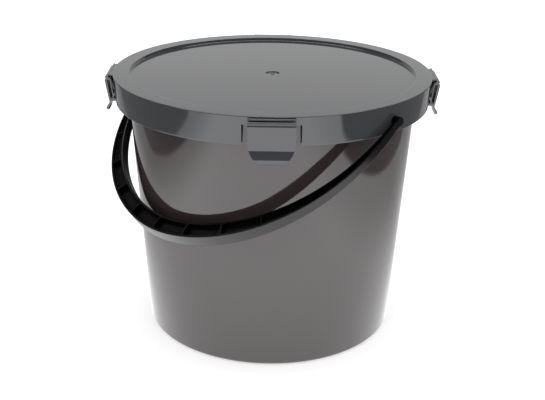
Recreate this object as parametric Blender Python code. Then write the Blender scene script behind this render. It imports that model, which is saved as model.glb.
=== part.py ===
"""Lidded wash bucket: a turned bucket, a press-on lid with four hinged clips, and a swinging handle.

Metres, +Z up. The origin is the centre of the base, on the surface that the bucket stands on.
The user stands at -Y. The handle's pivots lie midway between the clips.
"""

import math

import bmesh
import bpy
from mathutils import Matrix, Vector

# Bucket
BUCKET_HEIGHT = 0.2473  # base to the top of the rim
BASE_RADIUS = 0.1202  # outer wall at the base
LIP_RADIUS = 0.1448  # outside of the turned-down lip
RIM_OVERHANG = 0.0079  # lip beyond the outer wall
BUCKET_WALL = 0.0018
RIM_THICKNESS = 0.0020
LIP_DEPTH = 0.0220
RIM_ROUND = 0.0010
MOUTH_CHAMFER_WIDTH = 0.0040
MOUTH_CHAMFER_DEPTH = 0.0045
RIM_FILLET = 0.0030  # in the corner under the rim
BASE_FILLET = 0.0040
FOOT_RING_WIDTH = 0.0090
FOOT_HEIGHT = 0.0025  # the middle of the base is raised by this much
FLOOR_THICKNESS = 0.0022

# Lid
SEAT_GAP = 0.0003  # between faces that touch on the real object
LID_PLATE = 0.0020
SKIRT_WALL = 0.0018
SKIRT_CLEARANCE = 0.0034  # lip to the inside of the skirt
SKIRT_BELOW_LIP = 0.0021  # the skirt hangs this much lower than the bucket's lip
SKIRT_DRAFT = 0.0022  # the skirt narrows by this much towards its lower edge
SKIRT_BEAD = 0.0005
LID_EDGE_ROUND = 0.0012
RECESS_DEPTH = 0.0029
RECESS_SLOPE = 0.0006  # run of the recess wall
RECESS_FILLET = 0.0006
PLUG_CLEARANCE = 0.0031  # widest part of the mouth to the lower edge of the plug under the recess
GATE_RADIUS = 0.0018  # moulding gate, in a round dimple
GATE_HEIGHT = 0.0007
DIMPLE_RADIUS = 0.0068
DIMPLE_DEPTH = 0.0010
DIMPLE_SLOPE = 0.0005

# Clips
CLIP_WIDTH = 0.0400
CLIP_SIDE_GAP = 0.0050  # open slot in the skirt on each side of a clip
WINDOW_TOP = 0.0075  # below the lid's top
TAB_REACH = 0.0036  # hinge tab beyond the lid's edge
TAB_THICKNESS = 0.0016
TAB_ROUND = 0.0017  # run of the tab's rounded nose
HINGE_DROP = 0.0026  # film hinge below the lid's top
HINGE_GAP = 0.0004
KNUCKLE_DROP = 0.0004  # ridge of the clip below the film hinge
KNUCKLE_ROUND = 0.0010
KNUCKLE_REACH = 0.0059
LIMB_TOP_DROP = 0.0048
GROOVE_REACH = 0.0051
PLATE_TOP_DROP = 0.0065
PLATE_TOP_REACH = 0.0064
PLATE_WALL = 0.0018
PINCH_BELOW_HOOK = 0.0007  # the plate stops leaning in here, and its lip flares out
PINCH_REACH = 0.0026
FLARE_HEIGHT = 0.0114  # flared lip of the plate
TIP_REACH = 0.0065
TIP_BAND = 0.0045  # straight band at the foot of the flared lip
TIP_ROUND = 0.0010  # half the band's thickness
LIMB_WALL = 0.0013
LIMB_REACH = 0.0022  # outer face of the inner limb beyond the lid's edge, at its top
HOOK_THICKNESS = 0.0024
HOOK_GAP = 0.0004  # hook to the lip of the bucket
HOOK_BELOW_LIP = 0.0004
CLIP_CORNER_WIDTH = 0.0150
CLIP_CORNER_HEIGHT = 0.0170
CLIP_NAMES = ("clip_right", "clip_back", "clip_left", "clip_front")

# Handle
PIVOT_BELOW_RIM = 0.0126
HANDLE_AZIMUTH = math.radians(-45)
HANDLE_LID_GAP = 0.0008  # eye to the lid's edge
EYE_THICKNESS = 0.0046
EYE_RADIUS = 0.0047
EYE_STEP = 0.0002  # the arm is set back from each face of its eye
HANDLE_BULGE = 0.0219  # the arc reaches further than its half span by this much
HANDLE_WIDTH = 0.0160
HANDLE_DEPTH = 0.0140
HANDLE_END_DEPTH = 0.0077
HANDLE_WALL = 0.0020
HANDLE_SPAN_POWER = 1.05
HANDLE_REACH_POWER = 0.88
HANDLE_REST_GAP = 0.0006  # to the wall that it leans on
POCKETS = 12  # on each face, with a rib between two pockets
POCKET_END = math.radians(6)  # solid end of each arm
POCKET_DEPTH = 0.0048  # at the fullest section
RIB_THICKNESS = 0.0015
PIN_RADIUS = 0.0032
PIN_CLEARANCE = 0.0003
PIN_HEAD_STEP = 0.0012  # the head is wider than the pin by this much all round
PIN_HEAD_LENGTH = 0.0016
PIN_TIP_LENGTH = 0.0006  # end of the pin past its head
NOTCH_CLEARANCE = 0.0010  # slot in the skirt around the pin

# Facets
TURN_SEGMENTS = 96
ARC_STEPS = 4
HANDLE_STEPS = 4  # stations along each pocket
ROUND_SEGMENTS = 24

# Worked out
LID_TOP = BUCKET_HEIGHT + SEAT_GAP + LID_PLATE
LIP_FOOT = BUCKET_HEIGHT - LIP_DEPTH
SKIRT_FOOT = LIP_FOOT - SKIRT_BELOW_LIP
HOOK_TOP = LIP_FOOT - HOOK_BELOW_LIP
HOOK_FOOT = HOOK_TOP - HOOK_THICKNESS
PINCH_HEIGHT = HOOK_FOOT - PINCH_BELOW_HOOK
TIP_HEIGHT = PINCH_HEIGHT - FLARE_HEIGHT
PIN_HEAD_RADIUS = PIN_RADIUS + PIN_HEAD_STEP
WALL_TOP_RADIUS = LIP_RADIUS - RIM_OVERHANG
MOUTH_RADIUS = WALL_TOP_RADIUS - BUCKET_WALL
WALL_SLOPE = (WALL_TOP_RADIUS - BASE_RADIUS) / BUCKET_HEIGHT
LID_RADIUS = LIP_RADIUS + SKIRT_CLEARANCE + SKIRT_WALL
SKIRT_RADIUS = LID_RADIUS - SKIRT_DRAFT
RECESS_RADIUS = MOUTH_RADIUS + MOUTH_CHAMFER_WIDTH - PLUG_CLEARANCE - LID_PLATE
PIVOT_HEIGHT = BUCKET_HEIGHT - PIVOT_BELOW_RIM
HALF_SPAN = LID_RADIUS + HANDLE_LID_GAP + EYE_THICKNESS / 2
HANDLE_REACH = HALF_SPAN + HANDLE_BULGE
HINGE_RADIUS = LID_RADIUS + TAB_REACH + HINGE_GAP
HINGE_HEIGHT = LID_TOP - HINGE_DROP

TAUPE = (0.165, 0.148, 0.145, 1.0)
GREY = (0.175, 0.180, 0.182, 1.0)
BLACK = (0.004, 0.004, 0.004, 1.0)


def clear_scene():
    for obj in list(bpy.data.objects):
        bpy.data.objects.remove(obj, do_unlink=True)


def plastic(name, colour, roughness):
    material = bpy.data.materials.new(name)
    material.use_nodes = True
    shader = material.node_tree.nodes["Principled BSDF"]
    shader.inputs["Base Color"].default_value = colour
    shader.inputs["Roughness"].default_value = roughness
    shader.inputs["Metallic"].default_value = 0.0
    return material


def add_object(name, mesh_data, material=None):
    """The mesh becomes an object. With no material it is a helper, which no render shows."""
    bmesh.ops.remove_doubles(mesh_data, verts=mesh_data.verts, dist=1e-6)
    bmesh.ops.recalc_face_normals(mesh_data, faces=mesh_data.faces)
    mesh = bpy.data.meshes.new(name)
    mesh_data.to_mesh(mesh)
    mesh_data.free()
    obj = bpy.data.objects.new(name, mesh)
    bpy.context.collection.objects.link(obj)
    if material is None:
        obj.hide_render = True
        obj.display_type = "WIRE"
        return obj
    mesh.materials.append(material)
    mesh.shade_smooth()
    mesh.set_sharp_from_angle(angle=math.radians(30))
    return obj


def boolean(obj, helper, operation):
    modifier = obj.modifiers.new(helper.name, "BOOLEAN")
    modifier.object = helper
    modifier.operation = operation
    modifier.solver = "EXACT"


def arc(centre, radii, start, end, steps=ARC_STEPS):
    """Points on an elliptical arc, with angles in degrees and both ends included."""
    points = []
    for step in range(steps + 1):
        angle = math.radians(start + (end - start) * step / steps)
        points.append((centre[0] + radii[0] * math.cos(angle), centre[1] + radii[1] * math.sin(angle)))
    return points


def turned(name, outline, material):
    """A solid of revolution about Z. The outline is (radius, height) from axis to axis."""
    data = bmesh.new()
    verts = [data.verts.new((radius, 0.0, height)) for radius, height in outline]
    edges = [data.edges.new(pair) for pair in zip(verts, verts[1:])]
    bmesh.ops.spin(
        data,
        geom=verts + edges,
        cent=(0, 0, 0),
        axis=(0, 0, 1),
        angle=math.tau,
        steps=TURN_SEGMENTS,
        use_merge=True,
    )
    return add_object(name, data, material)


def prism(name, outline, low, high, frame, material=None):
    """An outline in the frame's X and Z, extruded along its Y from low to high."""
    data = bmesh.new()
    rings = [[data.verts.new(frame @ Vector((x, y, z))) for x, z in outline] for y in (low, high)]
    data.faces.new(rings[0])
    data.faces.new(reversed(rings[1]))
    for index in range(len(outline)):
        following = (index + 1) % len(outline)
        data.faces.new((rings[0][index], rings[1][index], rings[1][following], rings[0][following]))
    return add_object(name, data, material)


def rod(name, radius, start, end, frame, segments=ROUND_SEGMENTS):
    """A round bar along the frame's X."""
    data = bmesh.new()
    turn = Matrix.Translation(((start + end) / 2, 0, 0)) @ Matrix.Rotation(math.pi / 2, 4, "Y")
    bmesh.ops.create_cone(
        data,
        cap_ends=True,
        segments=segments,
        radius1=radius,
        radius2=radius,
        depth=end - start,
        matrix=frame @ turn,
    )
    return add_object(name, data)


def wall_radius(height):
    return BASE_RADIUS + WALL_SLOPE * height


# Each clip and each pivot is built in a frame whose X points straight out of the bucket.
def outward_frame(azimuth, height=0.0):
    return Matrix.Translation((0, 0, height)) @ Matrix.Rotation(azimuth, 4, "Z")


def pivot_frames():
    return [outward_frame(HANDLE_AZIMUTH + half_turn, PIVOT_HEIGHT) for half_turn in (0, math.pi)]


def make_bucket():
    lip_inner = LIP_RADIUS - BUCKET_WALL
    rim_under = BUCKET_HEIGHT - RIM_THICKNESS
    floor_top = FOOT_HEIGHT + FLOOR_THICKNESS
    wall_under_rim = wall_radius(rim_under)
    ring_inner = BASE_RADIUS - FOOT_RING_WIDTH
    floor_radius = wall_radius(floor_top) - BUCKET_WALL
    outline = [
        (0, FOOT_HEIGHT),
        (ring_inner - FOOT_HEIGHT, FOOT_HEIGHT),
        (ring_inner, 0),
        *arc((BASE_RADIUS - BASE_FILLET, BASE_FILLET), (BASE_FILLET, BASE_FILLET), -90, -4),
        (wall_under_rim, rim_under - RIM_FILLET),
        (wall_under_rim + RIM_FILLET, rim_under),
        (lip_inner, rim_under),
        (lip_inner, LIP_FOOT),
        (LIP_RADIUS, LIP_FOOT),
        *arc((LIP_RADIUS - RIM_ROUND, BUCKET_HEIGHT - RIM_ROUND), (RIM_ROUND, RIM_ROUND), 0, 90),
        (MOUTH_RADIUS + MOUTH_CHAMFER_WIDTH, BUCKET_HEIGHT),
        (MOUTH_RADIUS, BUCKET_HEIGHT - MOUTH_CHAMFER_DEPTH),
        *arc((floor_radius - BASE_FILLET, floor_top + BASE_FILLET), (BASE_FILLET, BASE_FILLET), 0, -90),
        (0, floor_top),
    ]
    bucket = turned("bucket", outline, plastic("bucket_plastic", TAUPE, 0.18))
    for number, frame in enumerate(pivot_frames()):
        hole = rod(
            f"pivot_hole_{number}",
            PIN_RADIUS + PIN_CLEARANCE,
            lip_inner - BUCKET_WALL,
            LIP_RADIUS + BUCKET_WALL,
            frame,
        )
        boolean(bucket, hole, "DIFFERENCE")
    return bucket


def skirt_notch(number, frame):
    """The slot that lets the skirt come down over a handle pin."""
    half = PIN_RADIUS + NOTCH_CLEARANCE
    foot = SKIRT_FOOT - PIVOT_HEIGHT - SKIRT_WALL
    outline = [(-half, foot), (half, foot), *arc((0, 0), (half, half), 0, 180, 12)]
    return prism(
        f"skirt_notch_{number}",
        outline,
        -(LID_RADIUS + SKIRT_WALL),
        -(LIP_RADIUS + SKIRT_WALL / 2),
        frame @ Matrix.Rotation(math.pi / 2, 4, "Z"),
    )


def skirt_window(name, frame):
    """The opening in the skirt behind a clip, open at the skirt's lower edge."""
    half = CLIP_WIDTH / 2 + CLIP_SIDE_GAP
    outline = [
        (LIP_RADIUS - SKIRT_CLEARANCE, LID_TOP - WINDOW_TOP),
        (LIP_RADIUS - SKIRT_CLEARANCE, SKIRT_FOOT - SKIRT_WALL),
        (LID_RADIUS + SKIRT_WALL, SKIRT_FOOT - SKIRT_WALL),
        (LID_RADIUS + SKIRT_WALL, LID_TOP - WINDOW_TOP),
    ]
    return prism(f"{name}_window", outline, -half, half, frame)


def hinge_tab(name, frame):
    """The lid's part of a film hinge: a short shelf with a rounded edge."""
    bottom = HINGE_HEIGHT + HINGE_GAP / 2
    nose = (LID_RADIUS + TAB_REACH - TAB_ROUND, bottom)
    root = LID_RADIUS - SKIRT_WALL
    outline = [
        (root, bottom),
        *arc(nose, (TAB_ROUND, TAB_THICKNESS), 0, 90),
        (root, bottom + TAB_THICKNESS),
    ]
    return prism(f"{name}_tab", outline, -CLIP_WIDTH / 2, CLIP_WIDTH / 2, frame)


def clip_azimuth(number):
    return number * math.pi / 2


def make_lid():
    bead = SKIRT_BEAD
    recess_floor = LID_TOP - RECESS_DEPTH
    dimple_floor = recess_floor - DIMPLE_DEPTH
    recess_top_radius = RECESS_RADIUS + RECESS_SLOPE
    edge = LID_EDGE_ROUND
    outline = [
        (0, dimple_floor + GATE_HEIGHT),
        (GATE_RADIUS - GATE_HEIGHT, dimple_floor + GATE_HEIGHT),
        (GATE_RADIUS, dimple_floor),
        (DIMPLE_RADIUS - DIMPLE_SLOPE, dimple_floor),
        (DIMPLE_RADIUS, recess_floor),
        (RECESS_RADIUS - RECESS_FILLET, recess_floor),
        (RECESS_RADIUS, recess_floor + RECESS_FILLET / 3),
        (recess_top_radius - RECESS_FILLET / 3, LID_TOP - RECESS_FILLET / 3),
        (recess_top_radius + RECESS_FILLET, LID_TOP),
        *arc((LID_RADIUS - edge, LID_TOP - edge), (edge, edge), 90, 0),
        (SKIRT_RADIUS, SKIRT_FOOT + 3 * bead),
        (SKIRT_RADIUS + bead, SKIRT_FOOT + 2 * bead),
        (SKIRT_RADIUS + bead, SKIRT_FOOT + bead),
        (SKIRT_RADIUS, SKIRT_FOOT),
        (SKIRT_RADIUS - SKIRT_WALL, SKIRT_FOOT),
        (LID_RADIUS - SKIRT_WALL, LID_TOP - LID_PLATE),
        (recess_top_radius + LID_PLATE, LID_TOP - LID_PLATE),
        (RECESS_RADIUS + LID_PLATE, recess_floor - LID_PLATE),
        (0, recess_floor - LID_PLATE),
    ]
    lid = turned("lid", outline, plastic("lid_plastic", GREY, 0.25))
    for number, name in enumerate(CLIP_NAMES):
        frame = outward_frame(clip_azimuth(number))
        boolean(lid, skirt_window(name, frame), "DIFFERENCE")
        boolean(lid, hinge_tab(name, frame), "UNION")
    for number, frame in enumerate(pivot_frames()):
        boolean(lid, skirt_notch(number, frame), "DIFFERENCE")
    return lid


def clip_outline():
    """The clip seen from its side, as (radius, height). It runs down the outside and back up the inside."""
    base = LID_RADIUS
    clip_top = HINGE_HEIGHT - HINGE_GAP / 2
    knuckle = (base + KNUCKLE_REACH - KNUCKLE_ROUND, clip_top - KNUCKLE_DROP - KNUCKLE_ROUND)
    plate_top = LID_TOP - PLATE_TOP_DROP
    bend = TIP_HEIGHT + TIP_BAND
    hook_face = LIP_RADIUS + HOOK_GAP
    return [
        (base + LIMB_REACH, LID_TOP - LIMB_TOP_DROP),
        (base + TAB_REACH, clip_top),
        (base + TAB_REACH + HINGE_GAP, clip_top),
        *arc(knuckle, (KNUCKLE_ROUND, KNUCKLE_ROUND), 80, -50),
        (base + GROOVE_REACH, plate_top + PLATE_WALL / 2),
        (base + PLATE_TOP_REACH, plate_top),
        (base + PINCH_REACH, PINCH_HEIGHT),
        (base + TIP_REACH, bend),
        *arc((base + TIP_REACH - TIP_ROUND, TIP_HEIGHT + TIP_ROUND), (TIP_ROUND, TIP_ROUND), 0, -180),
        (base + TIP_REACH - 2 * TIP_ROUND, bend),
        (base + PINCH_REACH - PLATE_WALL, HOOK_FOOT),
        (hook_face + HOOK_GAP, HOOK_FOOT),
        (hook_face, HOOK_FOOT + HOOK_GAP),
        (hook_face, HOOK_TOP - HOOK_GAP),
        (hook_face + HOOK_GAP, HOOK_TOP),
        (base - SKIRT_DRAFT, HOOK_TOP),
    ]


def clip_hollow():
    """The space between a clip's plate and its inner limb, which is open at both sides."""
    base = LID_RADIUS
    plate_top = LID_TOP - PLATE_TOP_DROP
    return [
        (base + LIMB_REACH + LIMB_WALL / 2, plate_top),
        (base + GROOVE_REACH - PLATE_WALL / 2, plate_top),
        (base + PINCH_REACH - PLATE_WALL + HOOK_THICKNESS / 4, HOOK_TOP),
        (base - SKIRT_DRAFT + LIMB_WALL, HOOK_TOP),
    ]


def clip_front_outline():
    """The clip seen from the front, with large lower corners, as (across, height)."""
    half = CLIP_WIDTH / 2
    radii = (CLIP_CORNER_WIDTH, CLIP_CORNER_HEIGHT)
    foot = TIP_HEIGHT - TIP_ROUND / 10
    shoulder = foot + CLIP_CORNER_HEIGHT
    inner = half - CLIP_CORNER_WIDTH
    return [
        (-half, LID_TOP + CLIP_CORNER_HEIGHT),
        *arc((-inner, shoulder), radii, 180, 270, 8),
        *arc((inner, shoulder), radii, 270, 360, 8),
        (half, LID_TOP + CLIP_CORNER_HEIGHT),
    ]


def make_clip(name, azimuth, material):
    frame = outward_frame(azimuth)
    clip = prism(name, clip_outline(), -CLIP_WIDTH, CLIP_WIDTH, frame, material)
    hollow = prism(f"{name}_hollow", clip_hollow(), -CLIP_WIDTH * 2, CLIP_WIDTH * 2, frame)
    boolean(clip, hollow, "DIFFERENCE")
    sideways = frame @ Matrix.Rotation(math.pi / 2, 4, "Z")
    blank = prism(
        f"{name}_blank",
        clip_front_outline(),
        -(LID_RADIUS + 2 * TAB_REACH + KNUCKLE_REACH),
        -(LIP_RADIUS - SKIRT_CLEARANCE),
        sideways,
    )
    boolean(clip, blank, "INTERSECT")
    set_origin(clip, frame @ Vector((HINGE_RADIUS, 0, HINGE_HEIGHT)))
    return clip


def set_origin(obj, point):
    """Moves the object's origin onto its joint's axis and leaves its shape where it is."""
    obj.data.transform(Matrix.Translation(-point))
    obj.location = point


def handle_rest_angle():
    """The angle below level at which the handle's inner edge leans on the bucket's wall."""
    inner = HANDLE_REACH - HANDLE_WIDTH / 2
    half = HANDLE_DEPTH / 2
    along = inner + WALL_SLOPE * half
    across = WALL_SLOPE * inner - half
    target = wall_radius(PIVOT_HEIGHT) + HANDLE_REST_GAP * math.hypot(1, WALL_SLOPE)
    return math.acos(target / math.hypot(along, across)) + math.atan2(across, along)


def handle_frame():
    """X along the pivot axis, Y to the middle of the grip, Z square to the handle's plane."""
    rest = handle_rest_angle()
    axis = Vector((math.cos(HANDLE_AZIMUTH), math.sin(HANDLE_AZIMUTH), 0))
    outward = Vector((math.sin(HANDLE_AZIMUTH), -math.cos(HANDLE_AZIMUTH), 0))
    up = Vector((0, 0, 1))
    grip = outward * math.cos(rest) - up * math.sin(rest)
    normal = outward * math.sin(rest) + up * math.cos(rest)
    turn = Matrix((axis, grip, normal)).transposed().to_4x4()
    return Matrix.Translation((0, 0, PIVOT_HEIGHT)) @ turn


def handle_station(angle):
    """Centre, outward direction and fullness of the handle's section at an angle from the pivot axis."""
    cosine = math.cos(angle)
    sine = abs(math.sin(angle))
    centre = Vector((
        HALF_SPAN * math.copysign(abs(cosine) ** HANDLE_SPAN_POWER, cosine),
        HANDLE_REACH * sine**HANDLE_REACH_POWER,
        0,
    ))
    slope_x = -HALF_SPAN * HANDLE_SPAN_POWER * abs(cosine) ** (HANDLE_SPAN_POWER - 1) * sine
    slope_y = HANDLE_REACH * HANDLE_REACH_POWER * max(sine, 1e-4) ** (HANDLE_REACH_POWER - 1) * cosine
    outward = Vector((slope_y, -slope_x, 0)).normalized()
    return centre, outward, sine


def add_sweep(data, frame, angles, section):
    """A closed bar through the stations. The section gives (outward, normal) pairs for a fullness."""
    rings = []
    for angle in angles:
        centre, outward, fullness = handle_station(angle)
        ring = []
        for across, height in section(fullness):
            ring.append(data.verts.new(frame @ (centre + outward * across + Vector((0, 0, height)))))
        rings.append(ring)
    for first, second in zip(rings, rings[1:]):
        for index in range(len(first)):
            following = (index + 1) % len(first)
            data.faces.new((first[index], first[following], second[following], second[index]))
    data.faces.new(reversed(rings[0]))
    data.faces.new(rings[-1])


def bar_section(fullness):
    end_width = EYE_THICKNESS - 2 * EYE_STEP
    width = end_width + (HANDLE_WIDTH - end_width) * fullness
    depth = HANDLE_END_DEPTH + (HANDLE_DEPTH - HANDLE_END_DEPTH) * fullness
    return [
        (-width / 2, -depth / 2),
        (width / 2, -depth / 2),
        (width / 2, depth / 2),
        (-width / 2, depth / 2),
    ]


def upper_pocket_section(fullness):
    across, height = bar_section(fullness)[2]
    half = across - HANDLE_WALL
    floor = height * (1 - POCKET_DEPTH / (HANDLE_DEPTH / 2))
    above = height + HANDLE_WALL
    return [(-half, floor), (half, floor), (half, above), (-half, above)]


def lower_pocket_section(fullness):
    return [(across, -height) for across, height in reversed(upper_pocket_section(fullness))]


def make_handle():
    frame = handle_frame()
    pocket_angle = (math.pi - 2 * POCKET_END) / POCKETS
    rib_angle = RIB_THICKNESS / HANDLE_REACH
    bar = bmesh.new()
    stations = POCKETS * HANDLE_STEPS
    end_angles = [0.0, POCKET_END * 0.15, POCKET_END * 0.5]
    middle = [POCKET_END + (math.pi - 2 * POCKET_END) * step / stations for step in range(stations + 1)]
    angles = end_angles + middle + [math.pi - angle for angle in reversed(end_angles)]
    add_sweep(bar, frame, angles, bar_section)
    handle = add_object("handle", bar, plastic("handle_plastic", BLACK, 0.20))
    for side, section in (("upper", upper_pocket_section), ("lower", lower_pocket_section)):
        pockets = bmesh.new()
        for number in range(POCKETS):
            start = POCKET_END + pocket_angle * number + rib_angle / 2
            end = POCKET_END + pocket_angle * (number + 1) - rib_angle / 2
            steps = [start + (end - start) * step / HANDLE_STEPS for step in range(HANDLE_STEPS + 1)]
            add_sweep(pockets, frame, steps, section)
        boolean(handle, add_object(f"handle_{side}_pockets", pockets), "DIFFERENCE")
    for number, pivot in enumerate(pivot_frames()):
        inner = LID_RADIUS + HANDLE_LID_GAP
        head_outer = LIP_RADIUS - BUCKET_WALL - 2 * PIN_CLEARANCE
        head_inner = head_outer - PIN_HEAD_LENGTH
        pin_tip = head_inner - PIN_TIP_LENGTH
        pieces = [
            rod(f"handle_eye_{number}", EYE_RADIUS, inner, inner + EYE_THICKNESS, pivot),
            rod(f"handle_pin_{number}", PIN_RADIUS, pin_tip, inner + EYE_THICKNESS / 2, pivot),
            rod(f"handle_pin_head_{number}", PIN_HEAD_RADIUS, head_inner, head_outer, pivot),
        ]
        for piece in pieces:
            boolean(handle, piece, "UNION")
    set_origin(handle, Vector((0, 0, PIVOT_HEIGHT)))
    return handle


def main():
    clear_scene()
    make_bucket()
    make_lid()
    clip_material = plastic("clip_plastic", GREY, 0.22)
    for number, name in enumerate(CLIP_NAMES):
        make_clip(name, clip_azimuth(number), clip_material.copy())
    make_handle()


main()
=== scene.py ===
"""Wash bucket: the finished look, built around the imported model.

Each piece repeats a CAD piece with rounded edges and moulded detail, and rides on that piece's body.
Metres, +Z up, the origin at the centre of the base.
"""

import math

import bmesh
import bpy
from mathutils import Euler, Matrix, Vector


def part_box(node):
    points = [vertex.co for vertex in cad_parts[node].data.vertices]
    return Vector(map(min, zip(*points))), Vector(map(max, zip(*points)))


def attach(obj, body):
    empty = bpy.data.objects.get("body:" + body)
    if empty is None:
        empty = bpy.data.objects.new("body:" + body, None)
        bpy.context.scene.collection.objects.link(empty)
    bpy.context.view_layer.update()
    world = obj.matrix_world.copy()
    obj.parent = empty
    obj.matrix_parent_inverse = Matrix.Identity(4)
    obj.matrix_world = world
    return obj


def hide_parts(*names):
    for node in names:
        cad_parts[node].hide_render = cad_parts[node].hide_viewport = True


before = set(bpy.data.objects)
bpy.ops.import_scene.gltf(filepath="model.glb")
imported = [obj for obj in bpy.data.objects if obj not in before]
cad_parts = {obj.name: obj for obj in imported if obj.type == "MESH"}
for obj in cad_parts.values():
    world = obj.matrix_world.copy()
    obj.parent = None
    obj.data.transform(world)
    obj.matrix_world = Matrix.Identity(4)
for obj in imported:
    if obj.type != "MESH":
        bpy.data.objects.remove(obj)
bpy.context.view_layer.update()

# Sizes read from the frame
BUCKET_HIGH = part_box("bucket")[1]
LID_LOW, LID_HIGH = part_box("lid")
LIP_RADIUS = BUCKET_HIGH.x
BUCKET_HEIGHT = BUCKET_HIGH.z
LID_TOP = LID_HIGH.z
SKIRT_DEPTH = LID_HIGH.z - LID_LOW.z

# Bucket
BASE_RADIUS = 0.1202
BUCKET_WALL = 0.0018
RIM_THICKNESS = 0.0020
RIM_OVERHANG = 0.0079
LIP_DEPTH = 0.0220
FOOT_RING_WIDTH = 0.0090
FOOT_HEIGHT = 0.0025
FLOOR_THICKNESS = 0.0022
BASE_FILLET = 0.0040
MOUTH_CHAMFER = (0.0040, 0.0045)
WALL_TOP_RADIUS = LIP_RADIUS - RIM_OVERHANG
WALL_SLOPE = (WALL_TOP_RADIUS - BASE_RADIUS) / BUCKET_HEIGHT

# Lid. A drop is a depth below the lid's top, and a reach is a distance out from its radius.
LID_RADIUS = 0.1500
LID_PLATE = 0.0020
SKIRT_WALL = 0.0018
SKIRT_DRAFT = 0.0022
SKIRT_TUCK = 0.0005  # how far the skirt's foot rounds inward
EDGE_ROUND = 0.0007
RECESS_RADIUS = 0.1340
RECESS_SLOPE = 0.0006
RECESS_DEPTH = 0.0029
DIMPLE_RADIUS = 0.0068
DIMPLE_DEPTH = 0.0010
GATE_RADIUS = 0.0018
GATE_HEIGHT = 0.0007
WINDOW_HALF = 0.0250
WINDOW_DROP = 0.0075
TAB_REACH = 0.0036
TAB_BEAD = 0.00095
TAB_BEAD_DROP = 0.0008
TAB_SHELF_DROP = 0.00145
HINGE_DROP = 0.0026
HINGE_GAP = 0.0004
NOTCH_HALF = 0.0042
NOTCH_START = 0.0009  # clear of the bucket's lip

# Clips, with drops and reaches as for the lid. LIP_FOOT, HOOK_TOP, HOOK_FOOT, PINCH and TIP are heights.
CLIP_WIDTH = 0.0400
KNUCKLE_REACH = 0.0059
KNUCKLE_BEAD = 0.00095
KNUCKLE_DROP = 0.0031
GROOVE_REACH = 0.0051
GROOVE_TOP_DROP = 0.0050
GROOVE_FOOT_DROP = 0.0062
PLATE_DROP = 0.0064
PLATE_REACH = 0.0064
LIMB_REACH = 0.0008
LIMB_DROP = 0.0056
HOLLOW_DROP = 0.0065
LIP_FOOT = BUCKET_HEIGHT - LIP_DEPTH
HOOK_GAP = 0.0004
HOOK_THICKNESS = 0.0024
HOOK_TOP = LIP_FOOT - HOOK_GAP
HOOK_FOOT = HOOK_TOP - HOOK_THICKNESS
PINCH = HOOK_FOOT - 0.0017
PINCH_REACH = 0.0024
TIP = HOOK_FOOT - 0.0121
TIP_REACH = 0.0065
TIP_BAND = 0.0045
TIP_ROUND = 0.0010
CORNER_WIDTH = 0.015
CORNER_HEIGHT = 0.017
CLIP_AZIMUTHS = {"clip_right": 0, "clip_back": 90, "clip_left": 180, "clip_front": 270}

# Handle
PIVOT_HEIGHT = 0.2347
HANDLE_AZIMUTH = math.radians(-45)
HANDLE_REST = math.radians(36.81)
HALF_SPAN = 0.1531
HANDLE_REACH = 0.1750
SPAN_POWER = 1.05
REACH_POWER = 0.88
HANDLE_WIDTH = 0.0160
HANDLE_DEPTH = 0.0140
END_WIDTH = 0.0042
END_DEPTH = 0.0062
HANDLE_WALL = 0.0020
POCKETS = 12
POCKET_END = math.radians(6)
POCKET_DEPTH = 0.0048
RIB_THICKNESS = 0.0015
EYE_RADIUS = 0.0041
EYE_THICKNESS = 0.0046
EYE_INNER = LID_RADIUS + 0.0008
PIN_RADIUS = 0.0032
PIN_GAP = 0.0003
PIN_TIP = 0.0006  # how far the pin stands past its head
PIN_IN_EYE = 0.0020
PIN_HEAD_RADIUS = 0.0044
PIN_HEAD_THICKNESS = 0.0016
PIN_HEAD_GAP = 0.0006

# How far a cutter passes the surface that it cuts
CUT_MARGIN = 0.0020

# Mesh fineness
TURN_SEGMENTS = 288
ROD_SEGMENTS = 48
BAR_STATIONS = 180
POCKET_STATIONS = 14


# ---------------------------------------------------------------- mesh tools

def filleted(points, steps=5):
    """An open outline of (x, y, fillet radius) with each marked corner rounded. The ends stay sharp."""
    outline = [Vector(points[0][:2])]
    for before, corner, after in zip(points, points[1:], points[2:]):
        here = Vector(corner[:2])
        back = Vector(before[:2]) - here
        ahead = Vector(after[:2]) - here
        radius = corner[2]
        if radius <= 0:
            outline.append(here)
            continue
        turn = back.angle(ahead)
        cut = min(radius / math.tan(turn / 2), 0.49 * back.length, 0.49 * ahead.length)
        radius = cut * math.tan(turn / 2)
        bisector = (back.normalized() + ahead.normalized()).normalized()
        centre = here + bisector * (radius / math.sin(turn / 2))
        first = here + back.normalized() * cut - centre
        last = here + ahead.normalized() * cut - centre
        sweep = first.angle_signed(last)
        for step in range(steps + 1):
            angle = -sweep * step / steps
            cosine, sine = math.cos(angle), math.sin(angle)
            offset = Vector((first.x * cosine - first.y * sine, first.x * sine + first.y * cosine))
            outline.append(centre + offset)
    outline.append(Vector(points[-1][:2]))
    return outline


def loop_filleted(points, steps=4):
    """A closed outline with its corners rounded."""
    wrapped = [points[-1], *points, points[0]]
    return filleted(wrapped, steps)[1:-1]


def arc(centre, radius, start, end, steps):
    """Points on a circle, with angles in degrees and both ends included."""
    points = []
    for step in range(steps + 1):
        angle = math.radians(start + (end - start) * step / steps)
        points.append((centre[0] + radius * math.cos(angle), centre[1] + radius * math.sin(angle)))
    return points


def new_object(name, data):
    bmesh.ops.remove_doubles(data, verts=data.verts, dist=1e-7)
    bmesh.ops.recalc_face_normals(data, faces=data.faces)
    mesh = bpy.data.meshes.new(name)
    data.to_mesh(mesh)
    data.free()
    obj = bpy.data.objects.new(name, mesh)
    bpy.context.scene.collection.objects.link(obj)
    return obj


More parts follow.
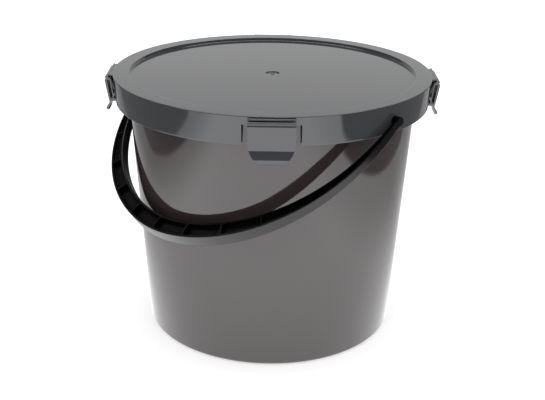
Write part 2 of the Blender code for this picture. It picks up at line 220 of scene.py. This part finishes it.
def turned(name, outline, segments=TURN_SEGMENTS):
    """A solid of revolution about Z from an outline that starts and ends on the axis."""
    data = bmesh.new()
    rings = []
    for point in outline:
        if point.x < 1e-6:
            rings.append([data.verts.new((0, 0, point.y))])
            continue
        ring = []
        for step in range(segments):
            angle = math.tau * step / segments
            ring.append(data.verts.new((point.x * math.cos(angle), point.x * math.sin(angle), point.y)))
        rings.append(ring)
    for first, second in zip(rings, rings[1:]):
        for step in range(segments):
            following = (step + 1) % segments
            corners = [first[step % len(first)], first[following % len(first)]]
            corners += [second[following % len(second)], second[step % len(second)]]
            data.faces.new(list(dict.fromkeys(corners)))
    return new_object(name, data)


def prism(name, outline, low, high, place):
    """An outline in X and Z, extruded along Y from low to high, then put in place."""
    data = bmesh.new()
    rings = [[data.verts.new(place @ Vector((x, y, z))) for x, z in outline] for y in (low, high)]
    data.faces.new(rings[0])
    data.faces.new(reversed(rings[1]))
    count = len(outline)
    for index in range(count):
        following = (index + 1) % count
        data.faces.new((rings[0][index], rings[1][index], rings[1][following], rings[0][following]))
    return new_object(name, data)


def boolean(obj, helper, operation):
    """Applies a Boolean at once and removes its helper."""
    modifier = obj.modifiers.new("cut", "BOOLEAN")
    modifier.object = helper
    modifier.operation = operation
    modifier.solver = "EXACT"
    settle(obj)
    bpy.data.objects.remove(helper, do_unlink=True)


def settle(obj):
    """Applies the object's modifiers."""
    bpy.context.view_layer.update()
    graph = bpy.context.evaluated_depsgraph_get()
    mesh = bpy.data.meshes.new_from_object(obj.evaluated_get(graph))
    obj.modifiers.clear()
    obj.data = mesh


def round_edges(obj, width, segments=2, angle=40):
    modifier = obj.modifiers.new("round", "BEVEL")
    modifier.width = width
    modifier.segments = segments
    modifier.limit_method = "ANGLE"
    modifier.angle_limit = math.radians(angle)
    modifier.use_clamp_overlap = True
    modifier.harden_normals = False
    settle(obj)


def smooth(obj, angle=35):
    obj.data.shade_smooth()
    obj.data.set_sharp_from_angle(angle=math.radians(angle))
    modifier = obj.modifiers.new("normals", "WEIGHTED_NORMAL")
    modifier.keep_sharp = True
    settle(obj)


def outward(azimuth, height=0.0):
    """A frame whose X points straight out of the bucket."""
    return Matrix.Translation((0, 0, height)) @ Matrix.Rotation(azimuth, 4, "Z")


SIDEWAYS = Matrix.Rotation(math.pi / 2, 4, "Z")


def wall_radius(height):
    return BASE_RADIUS + WALL_SLOPE * height


# ---------------------------------------------------------------- materials

def node_of(tree, kind, **inputs):
    node = tree.nodes.new(kind)
    for key, value in inputs.items():
        node.inputs[key.replace("_", " ")].default_value = value
    return node


def ranged(tree, value, low, high, at_low, at_high, step="SMOOTHSTEP"):
    """A step between two values, smooth or linear."""
    node = tree.nodes.new("ShaderNodeMapRange")
    node.interpolation_type = step
    node.inputs["From Min"].default_value = low
    node.inputs["From Max"].default_value = high
    node.inputs["To Min"].default_value = at_low
    node.inputs["To Max"].default_value = at_high
    tree.links.new(value, node.inputs["Value"])
    return node.outputs["Result"]


def calculate(tree, operation, *values):
    node = tree.nodes.new("ShaderNodeMath")
    node.operation = operation
    for socket, value in zip(node.inputs, values):
        if isinstance(value, (int, float)):
            socket.default_value = value
        else:
            tree.links.new(value, socket)
    return node.outputs[0]


def chosen(tree, switch, when_on, when_off):
    """One of two values, by a switch of 0 or 1."""
    on = calculate(tree, "MULTIPLY", switch, when_on)
    off = calculate(tree, "MULTIPLY", calculate(tree, "SUBTRACT", 1.0, switch), when_off)
    return calculate(tree, "ADD", on, off)


def mixed(tree, factor, first, second):
    """A colour between two others."""
    node = tree.nodes.new("ShaderNodeMix")
    node.data_type = "RGBA"
    node.inputs["A"].default_value = (*first, 1)
    node.inputs["B"].default_value = (*second, 1)
    tree.links.new(factor, node.inputs["Factor"])
    return node.outputs["Result"]


def moulded_plastic(name, colour, shade, roughness, mirror, peel, flow=0.0, pocket_shade_mirror=1.0):
    """Glossy moulded plastic: faint colour drift, uneven gloss, fine orange peel and flow lines.

    shade is the darkest part's share of the colour. mirror is the specular level, and pocket_shade_mirror
    is
    its share where an ambient occlusion node finds the surface sheltered, deep in a pocket most of all:
    painted shade that dims the gloss.
    """
    material = bpy.data.materials.new(name)
    material.use_nodes = True
    tree = material.node_tree
    link = tree.links.new
    shader = tree.nodes["Principled BSDF"]
    shader.inputs["IOR"].default_value = 1.50
    shader.inputs["Specular IOR Level"].default_value = mirror
    # Painted shade: an ambient occlusion node dims the gloss in the pockets and wherever other surfaces
    # stand close
    if pocket_shade_mirror < 1:
        occlusion_shade = node_of(tree, "ShaderNodeAmbientOcclusion", Distance=0.02)
        occlusion_shade.samples = 8
        level = ranged(tree, occlusion_shade.outputs["AO"], 0.5, 0.95, mirror * pocket_shade_mirror, mirror, "LINEAR")
        link(level, shader.inputs["Specular IOR Level"])

    place = tree.nodes.new("ShaderNodeTexCoord").outputs["Object"]
    drift = node_of(tree, "ShaderNodeTexNoise", Scale=14.0, Detail=4.0, Roughness=0.55)
    link(place, drift.inputs["Vector"])
    darker = [channel * shade for channel in colour]
    link(mixed(tree, drift.outputs["Fac"], colour, darker), shader.inputs["Base Color"])

    haze = node_of(tree, "ShaderNodeTexNoise", Scale=55.0, Detail=5.0, Roughness=0.6)
    link(place, haze.inputs["Vector"])
    gloss = ranged(tree, haze.outputs["Fac"], 0.3, 0.7, roughness * 0.8, roughness * 1.25, "LINEAR")
    link(gloss, shader.inputs["Roughness"])

    grain = node_of(tree, "ShaderNodeTexNoise", Scale=900.0, Detail=2.0)
    link(place, grain.inputs["Vector"])
    peel_bump = node_of(tree, "ShaderNodeBump", Strength=peel, Distance=0.0004)
    link(grain.outputs["Fac"], peel_bump.inputs["Height"])
    stretch = node_of(tree, "ShaderNodeMapping", Scale=(1.0, 1.0, 0.12))
    link(place, stretch.inputs["Vector"])
    lines = node_of(tree, "ShaderNodeTexNoise", Scale=42.0, Detail=3.0)
    link(stretch.outputs["Vector"], lines.inputs["Vector"])
    flow_bump = node_of(tree, "ShaderNodeBump", Strength=flow, Distance=0.0008)
    link(lines.outputs["Fac"], flow_bump.inputs["Height"])
    link(peel_bump.outputs["Normal"], flow_bump.inputs["Normal"])
    link(flow_bump.outputs["Normal"], shader.inputs["Normal"])
    return material


# ---------------------------------------------------------------- pieces

def finish_piece(obj, body, material):
    smooth(obj)
    obj.data.materials.clear()
    obj.data.materials.append(material)
    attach(obj, body)
    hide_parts(body)
    return obj


def make_bucket(material):
    lip_inner = LIP_RADIUS - BUCKET_WALL
    under = BUCKET_HEIGHT - RIM_THICKNESS
    lip_bottom = BUCKET_HEIGHT - LIP_DEPTH
    floor_top = FOOT_HEIGHT + FLOOR_THICKNESS
    ring_inner = BASE_RADIUS - FOOT_RING_WIDTH
    mouth = WALL_TOP_RADIUS - BUCKET_WALL
    outline = filleted([
        (0, FOOT_HEIGHT, 0),
        (ring_inner - FOOT_HEIGHT, FOOT_HEIGHT, 0.002),
        (ring_inner, 0, 0.001),
        (BASE_RADIUS, 0, BASE_FILLET),
        (wall_radius(under), under, 0.0050),
        (lip_inner, under, 0.001),
        (lip_inner, lip_bottom, 0.0007),
        (LIP_RADIUS, lip_bottom, 0.0007),
        (LIP_RADIUS, BUCKET_HEIGHT, 0.0012),
        (mouth + MOUTH_CHAMFER[0], BUCKET_HEIGHT, 0.0006),
        (mouth, BUCKET_HEIGHT - MOUTH_CHAMFER[1], 0.0015),
        (wall_radius(floor_top) - BUCKET_WALL, floor_top, BASE_FILLET),
        (0, floor_top, 0),
    ], 7)
    bucket = turned("bucket_shell", outline)
    for half_turn in (0, math.pi):
        place = outward(HANDLE_AZIMUTH + half_turn, PIVOT_HEIGHT)
        hole = rod("hole", PIN_RADIUS + PIN_GAP, lip_inner - 0.0015, LIP_RADIUS + 0.0015, place)
        boolean(bucket, hole, "DIFFERENCE")
    return finish_piece(bucket, "bucket", material)


def rod(name, radius, start, end, place):
    """A round rod along the place's X, from start to end."""
    circle = arc((0, 0), radius, 0, 360, ROD_SEGMENTS)[:-1]
    return prism(name, circle, -end, -start, place @ SIDEWAYS)


def make_lid(material):
    foot = LID_TOP - SKIRT_DEPTH
    floor = LID_TOP - RECESS_DEPTH
    dimple = floor - DIMPLE_DEPTH
    skirt = LID_RADIUS - SKIRT_DRAFT
    recess_top = RECESS_RADIUS + RECESS_SLOPE
    # A point with no fillet on a flat keeps the shading of the flat even
    outline = filleted([
        (0, dimple + GATE_HEIGHT, 0),
        (GATE_RADIUS - 0.0003, dimple + GATE_HEIGHT, 0.0003),
        (GATE_RADIUS, dimple, 0.0003),
        (DIMPLE_RADIUS - 0.0005, dimple, 0.0003),
        (DIMPLE_RADIUS, floor, 0.0003),
        (DIMPLE_RADIUS + 0.0010, floor, 0),
        (RECESS_RADIUS - 0.0030, floor, 0),
        (RECESS_RADIUS, floor, 0.0008),
        (recess_top, LID_TOP, 0.0006),
        (recess_top + 0.0020, LID_TOP, 0),
        (LID_RADIUS - 0.0025, LID_TOP, 0),
        (LID_RADIUS, LID_TOP, EDGE_ROUND),
        (skirt, foot + 2.4 * SKIRT_TUCK, 0.0008),
        (skirt - 0.25 * SKIRT_TUCK, foot + 0.4 * SKIRT_TUCK, 0.0004),
        (skirt - 0.9 * SKIRT_TUCK, foot, 0.0002),
        (skirt - SKIRT_WALL, foot, 0.0005),
        (LID_RADIUS - SKIRT_WALL, LID_TOP - LID_PLATE, 0.0008),
        (recess_top + LID_PLATE, LID_TOP - LID_PLATE, 0.001),
        (RECESS_RADIUS + LID_PLATE, floor - LID_PLATE, 0.001),
        (0, floor - LID_PLATE, 0),
    ], 4)
    lid = turned("lid_shell", outline)
    for azimuth in CLIP_AZIMUTHS.values():
        place = outward(math.radians(azimuth))
        window = [
            (LIP_RADIUS - 0.003, LID_TOP - WINDOW_DROP),
            (LIP_RADIUS - 0.003, foot - CUT_MARGIN),
            (LID_RADIUS + CUT_MARGIN, foot - CUT_MARGIN),
            (LID_RADIUS + CUT_MARGIN, LID_TOP - WINDOW_DROP),
        ]
        boolean(lid, prism("window", window, -WINDOW_HALF, WINDOW_HALF, place), "DIFFERENCE")
        boolean(lid, hinge_tab(place), "UNION")
    for half_turn in (0, math.pi):
        place = outward(HANDLE_AZIMUTH + half_turn, PIVOT_HEIGHT)
        low = foot - PIVOT_HEIGHT - CUT_MARGIN
        notch = [(-NOTCH_HALF, low), (NOTCH_HALF, low), *arc((0, 0), NOTCH_HALF, 0, 180, 24)]
        start = LIP_RADIUS + NOTCH_START
        cutter = prism("notch", notch, -(LID_RADIUS + CUT_MARGIN), -start, place @ SIDEWAYS)
        boolean(lid, cutter, "DIFFERENCE")
    return finish_piece(lid, "lid", material)


def hinge_tab(place):
    """The lid's part of a film hinge: a short shelf that ends in a round bead."""
    bottom = LID_TOP - HINGE_DROP + HINGE_GAP / 2
    root = LID_RADIUS - SKIRT_WALL
    bead = LID_RADIUS + TAB_REACH - TAB_BEAD
    shelf = LID_TOP - TAB_SHELF_DROP
    outline = [
        (root, bottom),
        (bead + TAB_BEAD * 0.7, bottom),
        *arc((bead, LID_TOP - TAB_BEAD_DROP - TAB_BEAD), TAB_BEAD, -25, 150, 12),
        (LID_RADIUS + 0.0012, shelf),
        (root, shelf),
    ]
    tab = prism("tab", outline, -CLIP_WIDTH / 2, CLIP_WIDTH / 2, place)
    round_edges(tab, 0.00025, 2, 60)
    return tab


def clip_outline():
    """The clip from its side, down its outside and back up its inside."""
    base = LID_RADIUS
    top = LID_TOP - HINGE_DROP - HINGE_GAP / 2
    bead = (base + KNUCKLE_REACH - KNUCKLE_BEAD, LID_TOP - KNUCKLE_DROP - KNUCKLE_BEAD)
    flank = filleted([
        (base + GROOVE_REACH + 0.0001, LID_TOP - GROOVE_TOP_DROP, 0),
        (base + GROOVE_REACH, LID_TOP - GROOVE_FOOT_DROP, 0.0004),
        (base + PLATE_REACH, LID_TOP - PLATE_DROP, 0.0006),
        (base + PINCH_REACH, PINCH, 0.0024),
        (base + TIP_REACH, TIP + TIP_BAND, 0.0025),
        (base + TIP_REACH, TIP, TIP_ROUND * 0.95),
        (base + TIP_REACH - 2 * TIP_ROUND, TIP, TIP_ROUND * 0.95),
        (base + TIP_REACH - 2 * TIP_ROUND, TIP + TIP_BAND, 0.0030),
        (base + 0.0008, HOOK_FOOT, 0.0006),
        (LIP_RADIUS + HOOK_GAP, HOOK_FOOT, 0.0006),
        (LIP_RADIUS + HOOK_GAP, HOOK_TOP, 0.0006),
        (base - 0.0022, HOOK_TOP, 0),
    ], 6)
    return [
        (base + LIMB_REACH, LID_TOP - LIMB_DROP),
        (base + 0.0033, top - 0.0004),
        (base + 0.0039, top - 0.0004),
        *arc(bead, KNUCKLE_BEAD, 140, -55, 12),
        *[tuple(point) for point in flank],
    ]


def make_clip(name, azimuth, material):
    place = outward(math.radians(azimuth))
    clip = prism(name + "_plate", clip_outline(), -CLIP_WIDTH, CLIP_WIDTH, place)
    hollow = loop_filleted([
        (LID_RADIUS + LIMB_REACH + 0.0007, LID_TOP - HOLLOW_DROP - 0.0003, 0.0003),
        (LID_RADIUS + 0.0042, LID_TOP - HOLLOW_DROP, 0.0003),
        (LID_RADIUS + 0.0014, HOOK_TOP, 0.0003),
        (LID_RADIUS - 0.0011, HOOK_TOP, 0.0003),
    ])
    boolean(clip, prism("hollow", hollow, -CLIP_WIDTH * 2, CLIP_WIDTH * 2, place), "DIFFERENCE")
    half = CLIP_WIDTH / 2
    corner_angles = [-math.pi / 2 * step / 16 for step in range(16, -1, -1)]
    corner = [
        (half - CORNER_WIDTH * (1 - math.cos(angle)), TIP + CORNER_HEIGHT * (1 + math.sin(angle)))
        for angle in corner_angles
    ]
    face = [(-x, z) for x, z in reversed(corner)] + corner
    face = [(-half, LID_TOP + 0.01), *face, (half, LID_TOP + 0.01)]
    blank = prism("blank", face, -(LID_RADIUS + 0.02), -(LIP_RADIUS - 0.004), place @ SIDEWAYS)
    boolean(clip, blank, "INTERSECT")
    round_edges(clip, 0.0008, 3, 55)
    return finish_piece(clip, name, material)


# ---------------------------------------------------------------- handle

def handle_place():
    """A frame whose X is the hinge's axis and whose Y points from the hinge to the grip."""
    axis = Vector((math.cos(HANDLE_AZIMUTH), math.sin(HANDLE_AZIMUTH), 0))
    out = Vector((math.sin(HANDLE_AZIMUTH), -math.cos(HANDLE_AZIMUTH), 0))
    up = Vector((0, 0, 1))
    grip = out * math.cos(HANDLE_REST) - up * math.sin(HANDLE_REST)
    normal = out * math.sin(HANDLE_REST) + up * math.cos(HANDLE_REST)
    turn = Matrix((axis, grip, normal)).transposed().to_4x4()
    return Matrix.Translation((0, 0, PIVOT_HEIGHT)) @ turn


def handle_station(angle):
    """The bar's centre at this angle, the way across it, and how full its section is, from 0 to 1."""
    cosine = math.cos(angle)
    sine = abs(math.sin(angle))
    centre = Vector((
        HALF_SPAN * math.copysign(abs(cosine) ** SPAN_POWER, cosine),
        HANDLE_REACH * sine**REACH_POWER,
        0,
    ))
    slope_x = -HALF_SPAN * SPAN_POWER * abs(cosine) ** (SPAN_POWER - 1) * sine
    slope_y = HANDLE_REACH * REACH_POWER * max(sine, 1e-4) ** (REACH_POWER - 1) * cosine
    return centre, Vector((slope_y, -slope_x, 0)).normalized(), sine


def sweep(data, place, angles, section):
    """Adds a closed solid that carries the section along the handle's curve."""
    rings = []
    for angle in angles:
        centre, across, fullness = handle_station(angle)
        ring = [centre + across * x + Vector((0, 0, z)) for x, z in section(fullness)]
        rings.append([data.verts.new(place @ point) for point in ring])
    for first, second in zip(rings, rings[1:]):
        for index in range(len(first)):
            following = (index + 1) % len(first)
            data.faces.new((first[index], first[following], second[following], second[index]))
    data.faces.new(reversed(rings[0]))
    data.faces.new(rings[-1])


def bar_half(fullness):
    width = END_WIDTH + (HANDLE_WIDTH - END_WIDTH) * fullness
    depth = END_DEPTH + (HANDLE_DEPTH - END_DEPTH) * fullness
    return width / 2, depth / 2


def bar_section(fullness):
    x, z = bar_half(fullness)
    edge = 0.0006 + 0.0004 * fullness
    return loop_filleted([(-x, -z, edge), (x, -z, edge), (x, z, edge), (-x, z, edge)])


def pocket_section(side):
    def section(fullness):
        x, z = bar_half(fullness)
        half = x - HANDLE_WALL
        floor = z * (1 - POCKET_DEPTH / (HANDLE_DEPTH / 2))
        above = z + CUT_MARGIN
        corners = [(-half, side * floor, 0.0005), (half, side * floor, 0.0005)]
        return loop_filleted(corners + [(half, side * above, 0), (-half, side * above, 0)], 3)
    return section


def make_handle(material):
    place = handle_place()
    bar = bmesh.new()
    angles = [math.pi * step / BAR_STATIONS for step in range(BAR_STATIONS + 1)]
    sweep(bar, place, angles, bar_section)
    handle = new_object("handle_bar", bar)
    pocket_angle = (math.pi - 2 * POCKET_END) / POCKETS
    rib_angle = RIB_THICKNESS / HANDLE_REACH
    for side in (1, -1):
        pockets = bmesh.new()
        for number in range(POCKETS):
            start = POCKET_END + pocket_angle * number + rib_angle / 2
            end = start + pocket_angle - rib_angle
            turn = end - start
            angles = [start + turn * step / POCKET_STATIONS for step in range(POCKET_STATIONS + 1)]
            sweep(pockets, place, angles, pocket_section(side))
        boolean(handle, new_object("pockets", pockets), "DIFFERENCE")
    for half_turn in (0, math.pi):
        side = outward(HANDLE_AZIMUTH + half_turn, PIVOT_HEIGHT)
        head = LIP_RADIUS - BUCKET_WALL - PIN_HEAD_GAP
        head_end = head - PIN_HEAD_THICKNESS
        boolean(handle, rod("eye", EYE_RADIUS, EYE_INNER, EYE_INNER + EYE_THICKNESS, side), "UNION")
        boolean(handle, rod("pin", PIN_RADIUS, head_end - PIN_TIP, EYE_INNER + PIN_IN_EYE, side), "UNION")
        boolean(handle, rod("pin_head", PIN_HEAD_RADIUS, head_end, head, side), "UNION")
    return finish_piece(handle, "handle", material)


# ---------------------------------------------------------------- studio

CAMERA_PLACE = (0.0, -0.9594, 0.5011)
CAMERA_PITCH = 21.81
CAMERA_YAW = -0.11
CAMERA_ROLL = 0.92
CAMERA_LENS = 68.73

# Table
TABLE_HALF = 2.0
TABLE_DROP = 0.0002
TABLE_WHITE = (0.90, 0.90, 0.90)
TABLE_MIRRORED = (0.28, 0.28, 0.28)
TABLE_CAMERA_GLOW = 0.45

# The table's glow to mirrored rays, which dims from line to line
FRONT_LINE = -0.30
MIDDLE_LINE = 0.20
BACK_LINE = 0.40
FRONT_GLOW = 3.16
MIDDLE_GLOW = 0.64
BACK_GLOW = 0.39

# Fades: where each starts and ends, and its values there
LEFT_FADE = (-0.52, -0.34, 0.45, 1.0)
RIGHT_FADE = (0.22, 0.42, 1.0, 0.7)
BACKDROP_SIDE = (-0.1, 0.5, 0.0, 1.0)
BACKDROP_TOP = (0.10, 0.75, 1.0, 0.0)
HORIZON = (-0.02, 0.02, 0.0, 1.0)
SOFT_BOX_EDGE = (0.76, 0.84, 0.0, 5.5)
SOFT_BOX_FRONT = (-0.14, -0.02, 0.0, 1.0)
DOME = (-0.1, 1.0, 0.5, 1.2)

ROOM_GLOW = 0.22
BACKDROP_GLOW = 0.72

# Dark cards: the near end, the far end, and what share of the length is cut off at each end's foot
FLAGS = {
    "flag_left": ((-0.525, -0.42), (-0.525, 0.42), 0.06, 0.36),
    "flag_right": ((0.422, -0.475), (0.535, 0.44), 0.06, 0.18),
}
FLAG_HEIGHT = 0.6
FLAG_SHOULDER = 0.045


def make_camera():
    data = bpy.data.cameras.new("camera")
    data.lens = CAMERA_LENS
    data.sensor_width = 36.0
    data.clip_start = 0.01
    camera = bpy.data.objects.new("camera", data)
    bpy.context.scene.collection.objects.link(camera)
    aim = Euler((math.radians(90 - CAMERA_PITCH), 0, math.radians(CAMERA_YAW))).to_matrix()
    roll = Matrix.Rotation(math.radians(CAMERA_ROLL), 3, "Z")
    camera.matrix_world = Matrix.Translation(CAMERA_PLACE) @ (aim @ roll).to_4x4()
    bpy.context.scene.camera = camera


def panel(name, corners):
    data = bmesh.new()
    data.faces.new([data.verts.new(corner) for corner in corners])
    return new_object(name, data)


def matt_material(name):
    """A material with no gloss, which can glow white. Returns it with its node tree and shader."""
    material = bpy.data.materials.new(name)
    material.use_nodes = True
    shader = material.node_tree.nodes["Principled BSDF"]
    shader.inputs["Specular IOR Level"].default_value = 0.0
    shader.inputs["Emission Color"].default_value = (1, 1, 1, 1)
    return material, material.node_tree, shader


def make_floor():
    """A pale table. It glows to mirrored rays as if lit from the front, and evenly to the camera."""
    sides = [(-1, -1), (1, -1), (1, 1), (-1, 1)]
    floor = panel("floor", [(TABLE_HALF * x, TABLE_HALF * y, -TABLE_DROP) for x, y in sides])
    material, tree, shader = matt_material("table_white")
    shader.inputs["Roughness"].default_value = 0.9
    rays = tree.nodes.new("ShaderNodeLightPath")
    paint = mixed(tree, rays.outputs["Is Glossy Ray"], TABLE_WHITE, TABLE_MIRRORED)
    tree.links.new(paint, shader.inputs["Base Color"])
    place = tree.nodes.new("ShaderNodeNewGeometry")
    split = tree.nodes.new("ShaderNodeSeparateXYZ")
    tree.links.new(place.outputs["Position"], split.inputs[0])
    front = ranged(tree, split.outputs["Y"], FRONT_LINE, MIDDLE_LINE, FRONT_GLOW, MIDDLE_GLOW)
    back = ranged(tree, split.outputs["Y"], MIDDLE_LINE, BACK_LINE, 0.0, BACK_GLOW - MIDDLE_GLOW)
    glow = calculate(tree, "ADD", front, back)
    for fade in (LEFT_FADE, RIGHT_FADE):
        glow = calculate(tree, "MULTIPLY", glow, ranged(tree, split.outputs["X"], *fade))
    mirrored = calculate(tree, "MULTIPLY", rays.outputs["Is Glossy Ray"], glow)
    seen = calculate(tree, "MULTIPLY", rays.outputs["Is Camera Ray"], TABLE_CAMERA_GLOW)
    tree.links.new(calculate(tree, "ADD", mirrored, seen), shader.inputs["Emission Strength"])
    floor.data.materials.append(material)


def make_flags():
    """Two dark cards beside the object. Only the gloss sees them."""
    material, _, shader = matt_material("flag_black")
    shader.inputs["Base Color"].default_value = (0.01, 0.01, 0.01, 1)
    shader.inputs["Emission Strength"].default_value = ROOM_GLOW
    for name, (near, far, near_cut, far_cut) in FLAGS.items():
        near_foot = Vector(near).lerp(far, near_cut)
        far_foot = Vector(far).lerp(near, far_cut)
        flag = panel(name, [
            (*near_foot, 0), (*far_foot, 0), (*far, FLAG_SHOULDER),
            (*far, FLAG_HEIGHT), (*near, FLAG_HEIGHT), (*near, FLAG_SHOULDER),
        ])
        flag.data.materials.append(material)
        flag.visible_camera = False
        flag.visible_diffuse = False
        flag.visible_transmission = False
        flag.visible_shadow = False


def make_world():
    """White to the camera. Gloss sees a dark room with a lit backdrop and a soft box overhead.

    Matt rays see a pale dome.
    """
    world = bpy.data.worlds.new("studio")
    bpy.context.scene.world = world
    world.use_nodes = True
    tree = world.node_tree
    background = tree.nodes["Background"]
    place = tree.nodes.new("ShaderNodeTexCoord")
    split = tree.nodes.new("ShaderNodeSeparateXYZ")
    tree.links.new(place.outputs["Generated"], split.inputs[0])
    depth, height = split.outputs["Y"], split.outputs["Z"]

    backdrop = ranged(tree, depth, *BACKDROP_SIDE)
    for fade in (BACKDROP_TOP, HORIZON):
        backdrop = calculate(tree, "MULTIPLY", backdrop, ranged(tree, height, *fade))
    soft_box = ranged(tree, height, *SOFT_BOX_EDGE)
    soft_box = calculate(tree, "MULTIPLY", soft_box, ranged(tree, depth, *SOFT_BOX_FRONT))
    gloss_sees = calculate(tree, "MULTIPLY_ADD", backdrop, BACKDROP_GLOW, ROOM_GLOW)
    gloss_sees = calculate(tree, "ADD", gloss_sees, soft_box)
    dome = ranged(tree, height, *DOME)

    rays = tree.nodes.new("ShaderNodeLightPath")
    glossy, camera = rays.outputs["Is Glossy Ray"], rays.outputs["Is Camera Ray"]
    light = chosen(tree, glossy, gloss_sees, dome)
    tree.links.new(chosen(tree, camera, 1.0, light), background.inputs["Strength"])
    background.inputs["Color"].default_value = (1, 1, 1, 1)


def main():
    make_camera()
    make_floor()
    make_flags()
    make_world()
    taupe = moulded_plastic(
        "bucket_taupe", (0.047, 0.035, 0.036), shade=0.85, roughness=0.06, mirror=0.5, peel=0.03, flow=0.03
    )
    slate = moulded_plastic(
        "lid_slate", (0.0515, 0.0535, 0.0582), shade=0.9, roughness=0.06, mirror=0.5, peel=0.03
    )
    slate_clip = moulded_plastic(
        "clip_slate", (0.051, 0.052, 0.061), shade=0.9, roughness=0.06, mirror=0.5, peel=0.03
    )
    # The handle's gloss drops to a twentieth deep in its pockets: painted shade
    black = moulded_plastic(
        "handle_black", (0.002, 0.002, 0.002),
        shade=0.8, roughness=0.22, mirror=0.25, peel=0.05, pocket_shade_mirror=0.05,
    )
    make_bucket(taupe)
    make_lid(slate)
    for name, azimuth in CLIP_AZIMUTHS.items():
        make_clip(name, azimuth, slate_clip)
    make_handle(black)
    bpy.context.scene.view_settings.view_transform = "Standard"


main()
